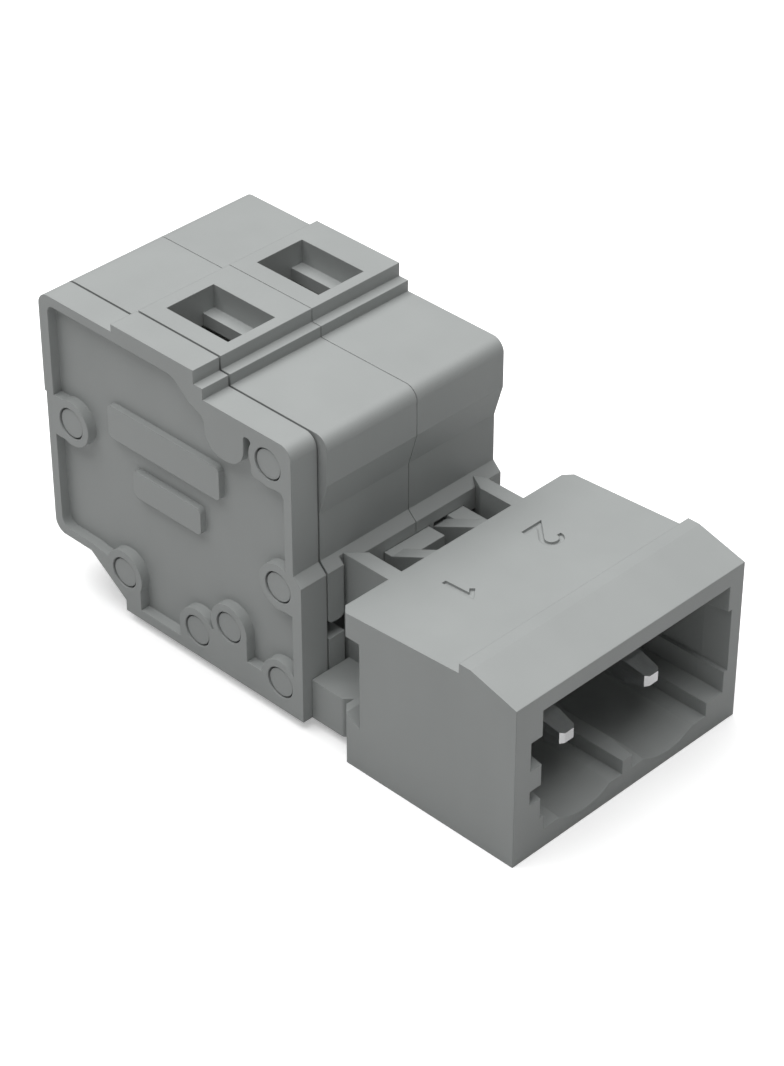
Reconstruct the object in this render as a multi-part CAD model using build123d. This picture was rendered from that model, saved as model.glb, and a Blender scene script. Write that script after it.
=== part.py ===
from build123d import *

"""Two-pole pluggable male connector with cage clamps, 5 mm pole spacing.

The connector is a row of clamp modules closed by an end plate, and a shrouded
header in front of it. One tinned current bar runs through each pole: its rear
end is the clamping rail under the cage spring, its front end is the square pin
inside the header. Every cage spring is two nodes, the fixed leg and the arm
with the window, so that the arm can swing about the spring's own bend.

Millimetres. +X is the mating direction, +Y runs from the end plate along the
poles, +Z is up. The shapes are drawn from the modules' front face (x = 0), the
end plate seam (y = 0) and the modules' underside (z = 0), and each piece is
moved at export so that the origin is the bottom centre of the whole connector.
"""
import os
from math import cos, radians, sin, tan

# Driving dimensions ---------------------------------------------------------
POLES = 2
PITCH = 5.0                  # pole spacing along Y
SEAM_GAP = 0.03              # air between two neighbouring modules
PLATE_THICKNESS = 1.5
PLATE_GAP = 0.1              # air between the end plate and the first module

# Side outline of the clamp block, X back from the front face, Z up
REAR_LOWER_X = -14.75
REAR_UPPER_X = -14.85
REAR_STEP_Z = 9.1
BACK_TOP_Z = 13.95
PLATEAU_Z = 14.3
PLATEAU_BACK_X = -10.33
PLATEAU_FRONT_X = -5.47
LEDGE_Z = 13.68
LEDGE_FRONT_X = -4.96
FRONT_TOP_Z = 13.17
HEEL_Z = 2.06                # underside of the rear overhang
HEEL_X = -12.48
FOOT_X = -10.36
FOOT_Z = 0.53
CORNER_R = 0.6

# Front face of the block
BULGE_X = 0.45               # the modules' brow above the taper
BULGE_LOW_Z = 10.95
TAPER_END_Z = 9.4
LIP_X = 0.43
LIP_TOP_Z = 7.15
LIP_FACE_Z = 6.72
LIP_LOW_Z = 6.15

# Pocket under the lip that takes the header's keys and walls
POCKET_X = -0.6
POCKET_Y = (0.88, 9.05)
SKIRT_Z = 5.65               # underside of the lip away from the keys
POCKET_LOW_Z = 1.3
TONGUE_LOW_Z = 4.2           # slot across the first module's cheek, below its tongue
CHEEK_SLOT = 0.75
TONGUE_CORNER_R = 0.25

# Module interior
WALL = 0.7                   # closed side wall, at the +Y side of each module
CAVITY_REAR_X = -12.5
CAVITY_FRONT_X = -2.1
CAVITY_LOW_Z = 2.4
CAVITY_TOP_Z = 12.6

# Tool opening in the top, and the ledge halfway across it
OPENING_BACK_X = -9.66
OPENING_FRONT_X = -6.03
OPENING_Y = (0.91, 3.49)
OPENING_LEDGE_Y = 2.85
OPENING_LEDGE_Z = 13.2

# Conductor entry and tool slot in the rear face
ENTRY_Y = 2.2
ENTRY_Z = 4.15
ENTRY_R = 1.45
ENTRY_MOUTH_R = 1.95
ENTRY_FUNNEL = 0.75
REAR_SLOT_Z = (10.7, 12.4)

# Pegs that key a module to the plate or to the next module: X and Z centres
PEGS = (
    (-13.27, 8.13),
    (-10.37, 1.95),
    (-5.88, 1.30),
    (-3.92, 2.51),
    (-0.91, 6.13),
    (-0.90, 1.33),
    (-1.31, 11.87),
)
PEG_R = 0.66
PEG_HOLE_R = 0.73
PEG_LENGTH = 1.44            # through the end plate, just short of its face
INNER_PEG_LENGTH = 0.45
PEG_BOSS_R = 1.08
BOSS_BRIDGES = (             # solid between a boss and the rim: X, Z, X, Z of two corners
    (-14.5, 7.15, -13.27, 9.1),
    (-11.4, 0.4, -9.4, 1.95),
    (-0.95, 5.1, 0, 7.15),
    (-1.97, 0.4, 0, 1.33),
    (-1.31, 10.9, 0, 12.0),
)
PAIR_BRIDGE = ((-6.96, 0.4), (-6.96, 1.3), (-5.88, 1.3), (-3.92, 2.51), (-2.86, 2.51), (-2.86, 1.33),
               (-1.9, 1.33), (-1.9, 0.4))

# End plate relief
RIM = 0.45
RELIEF_DEPTH = 0.45
LABEL_DEPTH = 0.15           # from the plate's face down to the blank label pads

# Current bar and pin
BAR_Z = (5.6, 6.4)
BAR_Y = (1.3, 3.1)
BAR_DROP_X = (-3.0, -2.2)
ELBOW_R = 0.5
PIN = 1.0
PIN_Y = 2.5                  # pin centre from the module's own seam
PIN_Z = 3.22
PIN_TIP_X = 11.19
PIN_TAPER = 1.08
PIN_TIP = (0.8, 0.48)        # width and height of the tip
PIN_NOSE = 0.15              # corners taken off the tip
PASSAGE_GAP = 0.05           # air around a pin in its module
SEAT_GAP = 0.01              # air around a pin in the header

# Cage spring
STRIP = 0.35                 # sheet thickness
SPRING_Y = (0.9, 3.5)
PIVOT_X = -5.6
BEND_R = 1.775               # to the middle of the sheet
PIVOT_Z = BAR_Z[1] + BEND_R + STRIP / 2
FIXED_LEG_X = -10.3
SPLIT_ANGLE = 20.0           # where the fixed leg ends and the arm begins
ARM_RISE = 5.0               # slope of the arm at rest
ARM_LENGTH = 5.75
KNEE_R = 0.6
WINDOW_Z = (5.55, 9.2)
WINDOW_Y = (1.2, 3.2)
ARM_FOOT_Z = 4.7

# Header
HEADER_Y = (-1.63, 11.63)
HEADER_LOW_Z = -0.45
HEADER_FRONT_X = 12.12
HEADER_BACK_X = 2.69
HEADER_TOP_Z = (7.05, 7.46)  # at the back and at the collar
COLLAR_X = (9.14, 9.72)
COLLAR_Z = 7.92
HEADER_FRONT_TOP_Z = 7.27
CORNER_CUT = 0.36
FLANGE_Z = 5.91              # underside of the back flange
NOTCH_X = 3.8
NOTCH_LEDGE_Z = (2.13, 1.63)   # slanted floor of the near notch, back and front
SOCKET_FLOOR_X = 4.83
SOCKET_Y = (-0.13, 10.81)
SOCKET_TOP_Z = 6.48
SOCKET_STEP_Z = 1.15
SOCKET_LOW_Z = 0.48
SOCKET_LOW_Y = (0.11, 9.81)
SCALLOP_DEPTH = 0.42
SCALLOP_HALF = 1.48
KEY_RIB_WIDTH = 0.57
GROOVE_NEAR_Y = -0.75
GROOVE_NEAR_Z = ((2.16, 2.85), (3.87, 5.25))
GROOVE_FAR_Y = 11.02
GROOVE_FAR_Z = (2.17, 5.25)
LEAD_IN_DRAFT = 5.0          # flare of the socket's mouth, degrees
LEAD_IN_DEPTH = 1.28

# What reaches back from the header to the clamp block
SILL_Y = (-1.0, 11.0)        # bar along the foot of the block
SILL_TOP_Z = 1.95
SILL_CORNER_X = 2.2
SILL_CORNER_R = 0.2
ROOT = 0.3                   # how far walls and keys reach into the header's body
WALL_LOW_Z = 1.5
NEAR_WALL = ((1.1, HEADER_BACK_X + ROOT), (1.1, 0.15), (1.85, 0.87), (1.85, HEADER_BACK_X + ROOT))
FAR_WALL = ((8.21, HEADER_BACK_X + ROOT), (8.21, 0.96), (8.65, 0.13), (8.93, 0.6),
            (8.93, HEADER_BACK_X + ROOT))
KEY_Z = (4.56, 6.12)         # keys that slide under the lip
KEY_BACK_X = -0.4
KEY_PLAY = 0.04              # air at either side of a key
RAMP_Y = ((3.17, 3.9), (6.07, 6.84))
RAMP_FOOT_X = (0.83, 0.2)    # where each ramp ends, at its own height
RAMP_SLOPE = 0.49
NEAR_KEY_Y = (3.17, 5.74)
NEAR_KEY_X = 1.33
FAR_KEY_Y = (6.84, 7.76)

# Engraved pole numbers on the header's top
DIGIT_HEIGHT = 1.5
DIGIT_STROKE = 0.22
DIGIT_DEPTH = 0.12
DIGIT_X = 5.2

# Bottom centre of the whole connector in the working frame
CENTRE_X = (REAR_UPPER_X + HEADER_FRONT_X) / 2
CENTRE_Y = (HEADER_Y[0] + HEADER_Y[1]) / 2
ORIGIN_SHIFT = Pos(-CENTRE_X, -CENTRE_Y, -HEADER_LOW_Z)


# Shape helpers --------------------------------------------------------------
def outline(corners):
    """Closed face from (a, b) or (a, b, radius) corners, rounded where a radius is given."""
    edges = []
    count = len(corners)
    starts = []
    ends = []
    for i, corner in enumerate(corners):
        here = Vector(corner[0], corner[1])
        radius = corner[2] if len(corner) > 2 else 0
        if radius == 0:
            starts.append(here)
            ends.append(here)
            continue
        before = corners[i - 1]
        after = corners[(i + 1) % count]
        to_before = (Vector(before[0], before[1]) - here).normalized()
        to_after = (Vector(after[0], after[1]) - here).normalized()
        half = radians(to_before.get_angle(to_after)) / 2
        reach = radius / tan(half)
        middle = (to_before + to_after).normalized()
        starts.append(here + to_before * reach)
        ends.append(here + to_after * reach)
        crown = here + middle * (radius / sin(half) - radius)
        edges.append(ThreePointArc(starts[i], crown, ends[i]))
    for i in range(count):
        following = starts[(i + 1) % count]
        if (following - ends[i]).length > 1e-6:
            edges.append(Line(ends[i], following))
    return make_face(edges)


def across(face, y_range):
    """Side outline (drawn as X, Z) turned upright and given a width along Y."""
    low, high = y_range
    return Pos(0, high, 0) * Rot(90, 0, 0) * extrude(face, high - low)


def upright(face, z_range):
    """Plan outline (drawn as X, Y) given a height along Z."""
    low, high = z_range
    return Pos(0, 0, low) * extrude(face, high - low)


def block(x_range, y_range, z_range):
    """Plain box between three ranges."""
    size = [high - low for low, high in (x_range, y_range, z_range)]
    corner = (x_range[0], y_range[0], z_range[0])
    return Pos(*corner) * Box(*size, align=(Align.MIN, Align.MIN, Align.MIN))


def corner_rectangle(a_range, b_range):
    """Flat rectangle between two ranges."""
    width = a_range[1] - a_range[0]
    height = b_range[1] - b_range[0]
    centre = Pos((a_range[0] + a_range[1]) / 2, (b_range[0] + b_range[1]) / 2)
    return centre * Rectangle(width, height)


def rod_y(x, z, radius, y_range):
    """Round bar or hole along Y."""
    return across(Pos(x, z) * Circle(radius), y_range)


def shifted(y_range, offset):
    """A Y range moved along the poles."""
    return (y_range[0] + offset, y_range[1] + offset)


# Clamp block ----------------------------------------------------------------
def lower_outline():
    """Rear and underside corners that the modules and the end plate share."""
    return [
        (LIP_X, 0),
        (FOOT_X, 0),
        (FOOT_X, FOOT_Z),
        (HEEL_X, HEEL_Z),
        (REAR_LOWER_X, HEEL_Z, CORNER_R),
        (REAR_LOWER_X, REAR_STEP_Z),
        (REAR_UPPER_X, REAR_STEP_Z),
        (REAR_UPPER_X, BACK_TOP_Z, CORNER_R),
        (PLATEAU_BACK_X, BACK_TOP_Z),
        (PLATEAU_BACK_X, PLATEAU_Z),
        (PLATEAU_FRONT_X, PLATEAU_Z),
        (PLATEAU_FRONT_X, LEDGE_Z),
        (LEDGE_FRONT_X, LEDGE_Z),
        (LEDGE_FRONT_X, FRONT_TOP_Z),
    ]


def module_face():
    """Side outline of a clamp module, with its brow, taper and lip in front."""
    return outline(lower_outline() + [
        (BULGE_X, FRONT_TOP_Z, CORNER_R),
        (BULGE_X, BULGE_LOW_Z),
        (0, TAPER_END_Z),
        (0, LIP_TOP_Z),
        (LIP_X, LIP_FACE_Z),
    ])


def plate_face():
    """Side outline of the end plate, which has no brow."""
    return outline(lower_outline() + [
        (0, FRONT_TOP_Z, CORNER_R),
        (0, LIP_TOP_Z),
        (LIP_X, LIP_FACE_Z),
    ])


def cavity_face():
    """Clamp chamber seen from the side, with a column down to the pin at its front."""
    bar_column_x = BAR_DROP_X[0] - 0.06
    post_x = PEGS[3][0] - PEG_BOSS_R
    post_z = PEGS[3][1] + 0.8
    pin_floor_z = PIN_Z - PIN / 2 - 0.02
    return outline([
        (CAVITY_REAR_X, CAVITY_LOW_Z, 0.3),
        (post_x, CAVITY_LOW_Z, 0.3),
        (post_x, post_z, 0.2),
        (bar_column_x, post_z, 0.2),
        (bar_column_x, pin_floor_z),
        (CAVITY_FRONT_X, pin_floor_z),
        (CAVITY_FRONT_X, CAVITY_TOP_Z - 1.8, 0.5),
        (CAVITY_FRONT_X - 1.2, CAVITY_TOP_Z, 0.5),
        (CAVITY_REAR_X, CAVITY_TOP_Z, 0.5),
    ])


def tool_opening(seam_y):
    """Rectangular opening in the plateau with a ledge along its +Y side."""
    x_range = (OPENING_BACK_X, OPENING_FRONT_X)
    mouth = block(x_range, shifted(OPENING_Y, seam_y), (OPENING_LEDGE_Z, PLATEAU_Z + 1))
    slot_y = shifted((OPENING_Y[0], OPENING_LEDGE_Y), seam_y)
    slot = block(x_range, slot_y, (CAVITY_TOP_Z - 0.5, OPENING_LEDGE_Z + 0.1))
    return mouth + slot


def rear_openings(seam_y):
    """Funnelled conductor entry, and the slot above it for a tool pushed in from behind."""
    centre = Pos(REAR_LOWER_X, seam_y + ENTRY_Y, ENTRY_Z) * Rot(0, 90, 0)
    bottom = (Align.CENTER, Align.CENTER, Align.MIN)
    funnel = centre * Cone(ENTRY_MOUTH_R, ENTRY_R, ENTRY_FUNNEL, align=bottom)
    bore_length = CAVITY_REAR_X - REAR_LOWER_X + 0.5
    bore = centre * Cylinder(ENTRY_R, bore_length, align=bottom)
    slot_x = (REAR_UPPER_X - 1, CAVITY_REAR_X + 0.5)
    slot = block(slot_x, shifted(OPENING_Y, seam_y), REAR_SLOT_Z)
    return funnel + bore + slot


def pocket():
    """Space under the lip for the header's keys and walls, across both modules."""
    x_range = (POCKET_X, LIP_X + 1)
    wall_end_x = NEAR_WALL[1][1]
    beside_wall = (POCKET_Y[0], NEAR_WALL[0][0])
    space = block(x_range, POCKET_Y, (POCKET_LOW_Z, SKIRT_Z))
    space += block((wall_end_x, LIP_X + 1), beside_wall, (WALL_LOW_Z, LIP_TOP_Z))
    for low, high in (NEAR_KEY_Y, (RAMP_Y[1][0], FAR_KEY_Y[1])):
        space += block(x_range, (low - KEY_PLAY, high + KEY_PLAY), (KEY_Z[0], LIP_LOW_Z))
    return space


def cheek_slot():
    """Slot that parts the first module's front cheek into a round-cornered tongue and a foot."""
    low_z = TONGUE_LOW_Z - CHEEK_SLOT
    back_x = POCKET_X - TONGUE_CORNER_R
    slot = across(outline([
        (back_x, low_z, TONGUE_CORNER_R),
        (LIP_X, low_z),
        (LIP_X, LIP_LOW_Z),
        (back_x, LIP_LOW_Z),
    ]), (0, POCKET_Y[0]))
    tongue = outline([
        (0, TONGUE_LOW_Z, TONGUE_CORNER_R),
        (POCKET_Y[0], TONGUE_LOW_Z, TONGUE_CORNER_R),
        (POCKET_Y[0], LIP_LOW_Z),
        (0, LIP_LOW_Z),
    ])
    front = Plane(origin=(LIP_X, 0, 0), x_dir=(0, 1, 0), z_dir=(1, 0, 0))
    return slot - extrude(front * tongue, amount=LIP_X - back_x, dir=(-1, 0, 0))


def clamp_module(index):
    """Housing of one pole, open towards the end plate and closed at its +Y side."""
    first = index == 0
    last = index == POLES - 1
    seam_y = index * PITCH
    right_y = seam_y + PITCH - (0 if last else SEAM_GAP)
    housing = across(module_face(), (seam_y, right_y))
    housing -= across(cavity_face(), shifted((-1, PITCH - WALL), seam_y))
    housing -= tool_opening(seam_y)
    housing -= rear_openings(seam_y)
    housing -= pocket()
    housing -= wall(FAR_WALL if last else NEAR_WALL)
    pin_y = seam_y + PIN_Y
    hole = PIN / 2 + PASSAGE_GAP
    housing -= block(
        (CAVITY_FRONT_X - 0.2, LIP_X + 1), (pin_y - hole, pin_y + hole),
        (PIN_Z - hole, PIN_Z + hole))
    if first:
        housing -= cheek_slot()
    for x, z in PEGS:
        in_pocket = x > POCKET_X - PEG_R and z < LIP_FACE_Z
        if first:
            housing += rod_y(x, z, PEG_R, (-PEG_LENGTH, 0.4))
        elif not in_pocket:
            housing += rod_y(x, z, PEG_R, (seam_y - INNER_PEG_LENGTH, seam_y + 0.4))
        if not last and not in_pocket:
            hole_end = seam_y + PITCH - INNER_PEG_LENGTH - 0.05
            housing -= rod_y(x, z, PEG_HOLE_R, (hole_end, seam_y + PITCH + 0.1))
    return housing


# End plate ------------------------------------------------------------------
def relief_face():
    """Sunk field of the end plate: the outline less its rim, its corner patch and the peg bosses."""
    left_x = REAR_LOWER_X + RIM
    field = outline([
        (left_x, HEEL_Z + RIM - 0.05, 0.5),
        (left_x, 13.5, 0.35),
        (-6.75, 13.5, 0.9),
        (-5.75, 12.65, 0.5),
        (-4.93, 12.3, 0.35),
        (-4.93, 10.85, 1.0),
        (-2.68, 10.85, 1.0),
        (-2.68, 12.56, 0.15),
        (-2.27, 12.56, 0.15),
        (-2.27, 10.85, 0.3),
        (-0.45, 10.85, 0.3),
        (-0.45, 5.15),
        (-0.1, 5.15),
        (-0.1, 0.5),
        (FOOT_X + 0.9, 0.5),
        (FOOT_X + 0.9, HEEL_Z),
        (HEEL_X + 0.1, HEEL_Z + RIM - 0.05),
    ])
    for x, z in PEGS:
        field -= Pos(x, z) * Circle(PEG_BOSS_R)
    for a, b, c, d in BOSS_BRIDGES:
        field -= outline([(a, b), (c, b), (c, d), (a, d)])
    return field - outline(PAIR_BRIDGE)


def label_pad():
    """Blank raised pads for a label: a wide one above a short one."""
    wide = Pos(-7.7, 9.3) * RectangleRounded(6.7, 1.6, 0.25)
    short = Pos(-7.6, 6.85) * RectangleRounded(4.1, 1.3, 0.25)
    return wide + short


def end_plate():
    """Cover that closes the open side of the first module."""
    outer_y = -PLATE_THICKNESS
    plate = across(plate_face(), (outer_y, -PLATE_GAP))
    plate -= across(relief_face(), (outer_y - 1, outer_y + RELIEF_DEPTH))
    plate += across(label_pad(), (outer_y + LABEL_DEPTH, outer_y + RELIEF_DEPTH + 0.1))
    for x, z in PEGS:
        plate -= rod_y(x, z, PEG_HOLE_R, (outer_y - 1, 1))
    return plate


# Contacts -------------------------------------------------------------------
def pin_blade(pin_y):
    """Square pin with a tapered, slightly rounded tip."""
    half = PIN / 2
    shank = block(
        (BAR_DROP_X[1] - 0.2, PIN_TIP_X - PIN_TAPER), (pin_y - half, pin_y + half),
        (PIN_Z - half, PIN_Z + half))
    base = Plane(origin=(PIN_TIP_X - PIN_TAPER, pin_y, PIN_Z), x_dir=(0, 1, 0), z_dir=(1, 0, 0))
    end = Plane(origin=(PIN_TIP_X, pin_y, PIN_Z), x_dir=(0, 1, 0), z_dir=(1, 0, 0))
    tip = loft([base * Rectangle(PIN, PIN), end * Rectangle(*PIN_TIP)])
    nose = tip.edges().group_by(Axis.X)[-1].filter_by(Axis.Z)
    tip = chamfer(nose, PIN_NOSE)
    return shank + tip


def current_bar(index):
    """Clamping rail, drop leg and pin of one pole, in one piece."""
    seam_y = index * PITCH
    bar_y = shifted(BAR_Y, seam_y)
    bar = block((CAVITY_REAR_X, BAR_DROP_X[1]), bar_y, BAR_Z)
    bar += block(BAR_DROP_X, bar_y, (PIN_Z - PIN / 2, BAR_Z[1]))
    elbow = bar.edges().filter_by(Axis.Y).filter_by_position(
        Axis.Z, BAR_Z[1] - 0.01, BAR_Z[1] + 0.01).sort_by(Axis.X)[-1]
    bar = fillet(elbow, ELBOW_R)
    return bar + pin_blade(seam_y + PIN_Y)


def strip(path, y_range):
    """Spring sheet along a path drawn as X, Z."""
    return across(trace(path, STRIP), y_range)


def bend_point(angle):
    """Point of the spring's bend at an angle from +X, in the middle of the sheet."""
    return (PIVOT_X + BEND_R * cos(radians(angle)), PIVOT_Z + BEND_R * sin(radians(angle)))


def cage_spring_base(index):
    """Fixed leg of the cage spring, lying on the current bar, with most of the bend."""
    low = bend_point(-90)
    leg = Line((FIXED_LEG_X, low[1]), low)
    bend = ThreePointArc(low, bend_point((SPLIT_ANGLE - 90) / 2), bend_point(SPLIT_ANGLE))
    return strip([leg, bend], shifted(SPRING_Y, index * PITCH))


def cage_spring_arm(index):
    """Moving arm of the cage spring: rest of the bend, top leg, knee and window leg."""
    seam_y = index * PITCH
    crest_angle = 90 - ARM_RISE
    crest = Vector(*bend_point(crest_angle))
    bend = ThreePointArc(
        bend_point(SPLIT_ANGLE), bend_point((SPLIT_ANGLE + crest_angle) / 2), crest)
    along = Vector(-cos(radians(ARM_RISE)), sin(radians(ARM_RISE)))
    knee_start = crest + along * ARM_LENGTH
    inward = Vector(-sin(radians(ARM_RISE)), -cos(radians(ARM_RISE)))
    knee_centre = knee_start + inward * KNEE_R
    knee_end = knee_centre + Vector(-KNEE_R, 0)
    half_turn = radians(90 + (90 - ARM_RISE)) / 2
    knee_middle = knee_centre + Vector(cos(half_turn), sin(half_turn)) * KNEE_R
    top_leg = Line(crest, knee_start)
    knee = ThreePointArc(knee_start, knee_middle, knee_end)
    window_leg = Line(knee_end, Vector(knee_end.X, ARM_FOOT_Z))
    arm = strip([bend, top_leg, knee, window_leg], shifted(SPRING_Y, seam_y))
    arm -= block(
        (knee_end.X - 1, knee_end.X + 1), shifted(WINDOW_Y, seam_y), WINDOW_Z)
    return arm


# Header ---------------------------------------------------------------------
def shell():
    """Outer block of the header: sloping top, collar and front bevel, cut back corners."""
    body = across(outline([
        (HEADER_BACK_X, HEADER_LOW_Z),
        (HEADER_FRONT_X, HEADER_LOW_Z),
        (HEADER_FRONT_X, HEADER_FRONT_TOP_Z),
        (COLLAR_X[1], COLLAR_Z),
        (COLLAR_X[0], COLLAR_Z),
        (COLLAR_X[0], HEADER_TOP_Z[1]),
        (HEADER_BACK_X, HEADER_TOP_Z[0]),
    ]), HEADER_Y)
    back_corners = body.edges().filter_by(Axis.Z).group_by(Axis.X)[0]
    return chamfer(back_corners, CORNER_CUT)


def socket_face():
    """Section of the socket, drawn as (Y, Z): keyed sides, stepped floor, scallops and centre rib."""
    space = corner_rectangle(SOCKET_Y, (SOCKET_STEP_Z, SOCKET_TOP_Z))
    space += corner_rectangle(SOCKET_LOW_Y, (SOCKET_LOW_Z, SOCKET_STEP_Z + 0.1))
    radius = (SCALLOP_HALF ** 2 + SCALLOP_DEPTH ** 2) / (2 * SCALLOP_DEPTH)
    for pole in range(POLES):
        centre = Pos(pole * PITCH + PIN_Y, SOCKET_LOW_Z - SCALLOP_DEPTH + radius)
        below = corner_rectangle(SOCKET_LOW_Y, (SOCKET_LOW_Z - 1, SOCKET_LOW_Z))
        space += centre * Circle(radius) & below
    for pole in range(POLES - 1):
        centre_y = PIN_Y + PITCH * (pole + 0.5)
        half = KEY_RIB_WIDTH / 2
        space -= corner_rectangle(
            (centre_y - half, centre_y + half), (SOCKET_LOW_Z - 2, SOCKET_STEP_Z))
    for z_range in GROOVE_NEAR_Z:
        space += corner_rectangle((GROOVE_NEAR_Y, SOCKET_Y[0]), z_range)
    return space + corner_rectangle((SOCKET_Y[1], GROOVE_FAR_Y), GROOVE_FAR_Z)


def socket():
    """Space for the mating plug, flared over its last stretch."""
    mouth = Plane(origin=(HEADER_FRONT_X, 0, 0), x_dir=(0, 1, 0), z_dir=(1, 0, 0))
    inward = (-1, 0, 0)
    flare = extrude(
        mouth * socket_face(), amount=LEAD_IN_DEPTH, dir=inward, taper=LEAD_IN_DRAFT)
    throat = flare.faces().sort_by(Axis.X)[0]
    depth = HEADER_FRONT_X - LEAD_IN_DEPTH - SOCKET_FLOOR_X
    return flare + extrude(throat, amount=depth, dir=inward)


def header_notches():
    """Clearance under the back flange at both outer corners, with a slanted ledge on the near side."""
    ledge_x = HEADER_BACK_X + CORNER_CUT
    ledge = outline([
        (0, NOTCH_LEDGE_Z[0]),
        (ledge_x, NOTCH_LEDGE_Z[0]),
        (NOTCH_X, NOTCH_LEDGE_Z[1]),
        (NOTCH_X, FLANGE_Z),
        (0, FLANGE_Z),
    ])
    near = across(ledge, (HEADER_Y[0] - 1, NEAR_WALL[0][0]))
    far = block((0, NOTCH_X), (FAR_WALL[-1][0], HEADER_Y[1] + 1), (NOTCH_LEDGE_Z[0], FLANGE_Z))
    return near + far


def wall(corners):
    """Wall from the header into a module's lip, from its (Y, X) plan corners."""
    return upright(outline([(x, y) for y, x in corners]), (WALL_LOW_Z, HEADER_TOP_Z[0]))


def sill():
    """Low bar along the foot of the block, with its front corners cut towards the header."""
    low, high = SILL_Y
    back_x = LIP_X + 0.01
    front_x = HEADER_BACK_X + CORNER_CUT + 0.1
    cut = front_x - SILL_CORNER_X
    return upright(outline([
        (back_x, low),
        (SILL_CORNER_X, low, SILL_CORNER_R),
        (front_x, low + cut),
        (front_x, high - cut),
        (SILL_CORNER_X, high, SILL_CORNER_R),
        (back_x, high),
    ]), (0, SILL_TOP_Z))


def ramp(y_range, foot_x):
    """Rib that slopes down from the header's back edge to a foot inside the pocket."""
    low_z, key_top_z = KEY_Z
    foot_z = HEADER_TOP_Z[0] - RAMP_SLOPE * (HEADER_BACK_X - foot_x)
    rib = outline([
        (KEY_BACK_X, low_z),
        (HEADER_BACK_X + ROOT, low_z),
        (HEADER_BACK_X + ROOT, HEADER_TOP_Z[0] - 0.1),
        (HEADER_BACK_X, HEADER_TOP_Z[0] - 0.01),
        (foot_x, foot_z),
        (KEY_BACK_X, min(foot_z, key_top_z)),
    ])
    return across(rib, y_range)


def keys():
    """Two flat keys that slide under the lip, each with a ramp from the header."""
    near = block((KEY_BACK_X, NEAR_KEY_X), NEAR_KEY_Y, KEY_Z)
    far = block((KEY_BACK_X, HEADER_BACK_X + ROOT), FAR_KEY_Y, KEY_Z)
    ramps = [ramp(y_range, foot_x) for y_range, foot_x in zip(RAMP_Y, RAMP_FOOT_X)]
    return near + far + ramps


def digit_strokes(pole):
    """Pole number as pen strokes in a box of unit height, centred."""
    if pole == 1:
        return [Line((-0.22, 0.28), (0.05, 0.5)), Line((0.05, 0.5), (0.05, -0.5))]
    return [
        ThreePointArc((-0.28, 0.24), (0.05, 0.5), (0.2, 0.05)),
        Line((0.2, 0.05), (-0.3, -0.5)),
        Line((-0.3, -0.5), (0.32, -0.5)),
    ]


def pole_number(pole):
    """Engraving tool for a pole's number, lying in the header's sloping top."""
    rise = (HEADER_TOP_Z[1] - HEADER_TOP_Z[0]) / (COLLAR_X[0] - HEADER_BACK_X)
    top_z = HEADER_TOP_Z[0] + rise * (DIGIT_X - HEADER_BACK_X)
    pole_y = (pole - 1) * PITCH + PIN_Y
    top = Plane(origin=(DIGIT_X, pole_y, top_z), x_dir=(0, -1, 0), z_dir=(-rise, 0, 1))
    strokes = [edge.scale(DIGIT_HEIGHT) for edge in digit_strokes(pole)]
    sketch = trace(strokes, DIGIT_STROKE)
    return extrude(top * sketch, DIGIT_DEPTH, both=True)


def header_housing():
    """Shrouded header with everything that reaches back into the clamp block."""
    body = shell() - header_notches()
    body += sill()
    body += wall(NEAR_WALL)
    body += wall(FAR_WALL)
    body += keys()
    body -= socket()
    for index in range(POLES):
        pin_y = index * PITCH + PIN_Y
        half = PIN / 2 + SEAT_GAP
        body -= block(
            (-2, SOCKET_FLOOR_X + 1), (pin_y - half, pin_y + half),
            (PIN_Z - half, PIN_Z + half))
        body -= pole_number(index + 1)
    return body


# Export ---------------------------------------------------------------------
def all_pieces():
    """Every node of the connector by name, in the working frame."""
    pieces = {"header_housing": header_housing(), "end_plate": end_plate()}
    for index in range(POLES):
        pole = index + 1
        pieces[f"clamp_module_{pole}"] = clamp_module(index)
        pieces[f"current_bar_{pole}"] = current_bar(index)
        pieces[f"cage_spring_base_{pole}"] = cage_spring_base(index)
        pieces[f"cage_spring_arm_{pole}"] = cage_spring_arm(index)
    return pieces


def main():
    """Write one STEP file per node."""
    os.makedirs("parts", exist_ok=True)
    for name, shape in all_pieces().items():
        solids = (ORIGIN_SHIFT * shape).solids()
        piece = solids[0] if len(solids) == 1 else Compound(children=list(solids))
        export_step(piece, f"parts/{name}.step")
        print(name, len(solids), "solid(s)", round(piece.volume, 3), "mm3")


main()
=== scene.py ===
from math import cos, radians, sin

import bpy
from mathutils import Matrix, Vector


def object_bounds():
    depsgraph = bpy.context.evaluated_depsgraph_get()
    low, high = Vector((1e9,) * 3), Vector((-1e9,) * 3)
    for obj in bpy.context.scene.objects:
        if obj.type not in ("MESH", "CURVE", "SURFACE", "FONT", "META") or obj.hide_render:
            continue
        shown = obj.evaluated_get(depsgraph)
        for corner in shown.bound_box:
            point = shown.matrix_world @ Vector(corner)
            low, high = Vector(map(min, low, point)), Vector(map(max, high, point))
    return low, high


# Two-pole pluggable male connector with cage clamps, in grey moulded plastic

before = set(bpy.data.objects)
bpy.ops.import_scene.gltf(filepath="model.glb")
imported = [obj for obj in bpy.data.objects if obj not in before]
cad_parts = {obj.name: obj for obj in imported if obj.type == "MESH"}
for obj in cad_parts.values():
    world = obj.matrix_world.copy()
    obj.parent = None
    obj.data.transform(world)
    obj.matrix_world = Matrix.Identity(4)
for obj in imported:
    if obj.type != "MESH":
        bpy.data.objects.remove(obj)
CAD_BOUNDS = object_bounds()
MM = 0.001
POLES = (1, 2)

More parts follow.
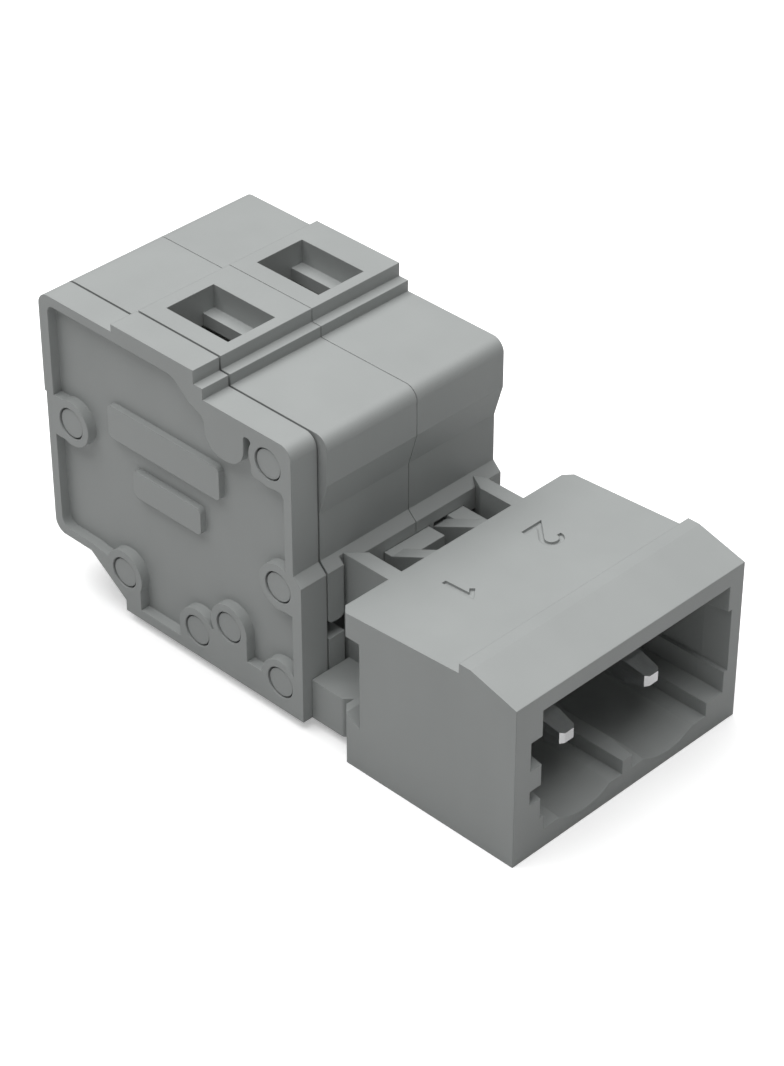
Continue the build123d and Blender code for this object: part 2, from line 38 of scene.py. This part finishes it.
# Viewpoint, in metres and degrees. Azimuth 0 looks along +Y.
AZIMUTH = 44.67
ELEVATION = 35.76
DISTANCE = 0.13207
FIELD_OF_VIEW = 18.84            # vertical
AIM_FROM_CENTRE = Vector((0.000205, 0.00021, -0.001675))

# Plastics: linear base colours of the modules and of the header
MODULE_GREY = (0.36, 0.375, 0.37, 1.0)
HEADER_GREY = (0.35, 0.365, 0.36, 1.0)
TIN = (0.88, 0.88, 0.89, 1.0)
SPRING_STEEL = (0.52, 0.50, 0.47, 1.0)
EDGE_RADIUS = 0.06 * MM          # of the plastics' edges, in the shading only
EDGE_SAMPLES = 8

# Studio: sizes in metres, power in watts
FLOOR_SIZE = 1.2
FLOOR_WHITE = (0.93, 0.93, 0.93, 1.0)
FLOOR_RETURN = (0.61, 0.61, 0.61, 1.0)
FLOOR_GLOW = 0.35
ROOM_STRENGTH = 0.1
OVERHEAD_DIRECTION = (-0.15, -0.04, 1)
OVERHEAD_DISTANCE = 0.35
OVERHEAD_SIZE = 0.5
OVERHEAD_POWER = 2.25

# Middle range of a noise, which holds nearly all of its values
NOISE_RANGE = (0.3, 0.7)


def centre():
    """Middle of the CAD box."""
    low, high = CAD_BOUNDS
    return (Vector(low) + Vector(high)) / 2


# Materials ------------------------------------------------------------------
def new_material(name):
    """Empty node material with a Principled shader: returns material, nodes, links, shader."""
    material = bpy.data.materials.new(name)
    material.use_nodes = True
    nodes = material.node_tree.nodes
    return material, nodes, material.node_tree.links, nodes["Principled BSDF"]


def noise(nodes, links, scale, detail=3.0, stretch=(1, 1, 1)):
    """Noise on object coordinates, with its scale given in features per millimetre."""
    coordinates = nodes.new("ShaderNodeTexCoord")
    mapping = nodes.new("ShaderNodeMapping")
    mapping.inputs["Scale"].default_value = [s / MM for s in stretch]
    texture = nodes.new("ShaderNodeTexNoise")
    texture.inputs["Scale"].default_value = scale
    texture.inputs["Detail"].default_value = detail
    links.new(coordinates.outputs["Object"], mapping.inputs["Vector"])
    links.new(mapping.outputs["Vector"], texture.inputs["Vector"])
    return texture.outputs["Fac"]


def spread(nodes, links, source, low, high):
    """Maps a noise's middle range to low..high."""
    ranged = nodes.new("ShaderNodeMapRange")
    ranged.inputs["From Min"].default_value = NOISE_RANGE[0]
    ranged.inputs["From Max"].default_value = NOISE_RANGE[1]
    ranged.inputs["To Min"].default_value = low
    ranged.inputs["To Max"].default_value = high
    links.new(source, ranged.inputs["Value"])
    return ranged.outputs["Result"]


def tinted(nodes, links, source, colour, amount):
    """Colour that varies by amount either way with a noise."""
    ramp = nodes.new("ShaderNodeValToRGB")
    for element, position, factor in zip(
            ramp.color_ramp.elements, NOISE_RANGE, (1 - amount, 1 + amount)):
        element.position = position
        element.color = [c * factor for c in colour[:3]] + [1]
    links.new(source, ramp.inputs["Fac"])
    return ramp.outputs["Color"]


def moulded_plastic(name, colour):
    """Grey moulded polyamide: faint flow mottling and a fine spark-eroded grain."""
    material, nodes, links, shader = new_material(name)
    flow = noise(nodes, links, 0.35, 2.0, (1, 1, 0.4))
    links.new(tinted(nodes, links, flow, colour, 0.025), shader.inputs["Base Color"])
    grain = noise(nodes, links, 14.0, 2.0)
    links.new(spread(nodes, links, grain, 0.40, 0.52), shader.inputs["Roughness"])
    shader.inputs["IOR"].default_value = 1.5
    shader.inputs["Specular IOR Level"].default_value = 0.4
    rounded = nodes.new("ShaderNodeBevel")
    rounded.samples = EDGE_SAMPLES
    rounded.inputs["Radius"].default_value = EDGE_RADIUS
    bump = nodes.new("ShaderNodeBump")
    bump.inputs["Strength"].default_value = 0.12
    bump.inputs["Distance"].default_value = 0.01 * MM
    links.new(grain, bump.inputs["Height"])
    links.new(rounded.outputs["Normal"], bump.inputs["Normal"])
    links.new(bump.outputs["Normal"], shader.inputs["Normal"])
    return material


def tin_plate():
    """Bright tin on a stamped copper bar, with faint rolling lines."""
    material, nodes, links, shader = new_material("tin_plate")
    shader.inputs["Metallic"].default_value = 1.0
    rolling = noise(nodes, links, 6.0, 3.0, (0.15, 2, 2))
    links.new(tinted(nodes, links, rolling, TIN, 0.04), shader.inputs["Base Color"])
    links.new(spread(nodes, links, rolling, 0.12, 0.24), shader.inputs["Roughness"])
    return material


def spring_strip():
    """Rolled stainless strip."""
    material, nodes, links, shader = new_material("spring_strip")
    shader.inputs["Metallic"].default_value = 1.0
    rolling = noise(nodes, links, 5.0, 4.0, (0.2, 3, 0.2))
    links.new(tinted(nodes, links, rolling, SPRING_STEEL, 0.08), shader.inputs["Base Color"])
    links.new(spread(nodes, links, rolling, 0.25, 0.4), shader.inputs["Roughness"])
    return material


def dress(node, material):
    """Gives a CAD node its material."""
    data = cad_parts[node].data
    data.materials.clear()
    data.materials.append(material)


def dress_nodes():
    """Materials of all the CAD nodes."""
    module = moulded_plastic("module_plastic", MODULE_GREY)
    header = moulded_plastic("header_plastic", HEADER_GREY)
    tin = tin_plate()
    strip = spring_strip()
    dress("header_housing", header)
    dress("end_plate", module)
    for pole in POLES:
        dress(f"clamp_module_{pole}", module)
        dress(f"current_bar_{pole}", tin)
        dress(f"cage_spring_base_{pole}", strip)
        dress(f"cage_spring_arm_{pole}", strip)


# Studio ---------------------------------------------------------------------
def make_floor():
    """Pale floor under the connector, seen near white but returning less light than that."""
    bpy.ops.mesh.primitive_plane_add(size=FLOOR_SIZE, location=(0, 0, 0))
    floor = bpy.context.object
    floor.name = "floor"
    material, nodes, links, shader = new_material("floor")
    shader.inputs["Base Color"].default_value = FLOOR_WHITE
    shader.inputs["Roughness"].default_value = 0.9
    shader.inputs["Specular IOR Level"].default_value = 0.0
    shader.inputs["Emission Color"].default_value = (1, 1, 1, 1)
    shader.inputs["Emission Strength"].default_value = FLOOR_GLOW
    returned = nodes.new("ShaderNodeBsdfDiffuse")
    returned.inputs["Color"].default_value = FLOOR_RETURN
    rays = nodes.new("ShaderNodeLightPath")
    chosen = nodes.new("ShaderNodeMixShader")
    links.new(rays.outputs["Is Camera Ray"], chosen.inputs["Fac"])
    links.new(returned.outputs["BSDF"], chosen.inputs[1])
    links.new(shader.outputs["BSDF"], chosen.inputs[2])
    links.new(chosen.outputs["Shader"], nodes["Material Output"].inputs["Surface"])
    floor.data.materials.append(material)


def area_light(name, direction, distance, size, power):
    """Square soft light aimed at the connector's middle."""
    data = bpy.data.lights.new(name, "AREA")
    data.shape = "SQUARE"
    data.size = size
    data.energy = power
    light = bpy.data.objects.new(name, data)
    towards = Vector(direction).normalized()
    light.location = centre() + towards * distance
    light.rotation_euler = (-towards).to_track_quat("-Z", "Y").to_euler()
    bpy.context.collection.objects.link(light)


def make_light():
    """Broad overhead light, a little behind the connector, in a dim pale room."""
    world = bpy.data.worlds.new("room")
    bpy.context.scene.world = world
    world.use_nodes = True
    background = world.node_tree.nodes["Background"]
    background.inputs["Color"].default_value = (1, 1, 1, 1)
    background.inputs["Strength"].default_value = ROOM_STRENGTH
    area_light(
        "overhead", OVERHEAD_DIRECTION, OVERHEAD_DISTANCE, OVERHEAD_SIZE, OVERHEAD_POWER)
    bpy.context.scene.view_settings.view_transform = "Standard"


def make_camera():
    """Camera at the matched viewing angle, aimed near the middle of the connector."""
    azimuth = radians(AZIMUTH)
    elevation = radians(ELEVATION)
    out = Vector((
        sin(azimuth) * cos(elevation), -cos(azimuth) * cos(elevation), sin(elevation)))
    data = bpy.data.cameras.new("camera")
    data.sensor_fit = "VERTICAL"
    data.sensor_height = 24.0
    data.angle_y = radians(FIELD_OF_VIEW)
    data.clip_start = 0.001
    camera = bpy.data.objects.new("camera", data)
    camera.location = centre() + AIM_FROM_CENTRE + out * DISTANCE
    camera.rotation_euler = (-out).to_track_quat("-Z", "Y").to_euler()
    bpy.context.collection.objects.link(camera)
    bpy.context.scene.camera = camera


dress_nodes()
make_floor()
make_light()
make_camera()
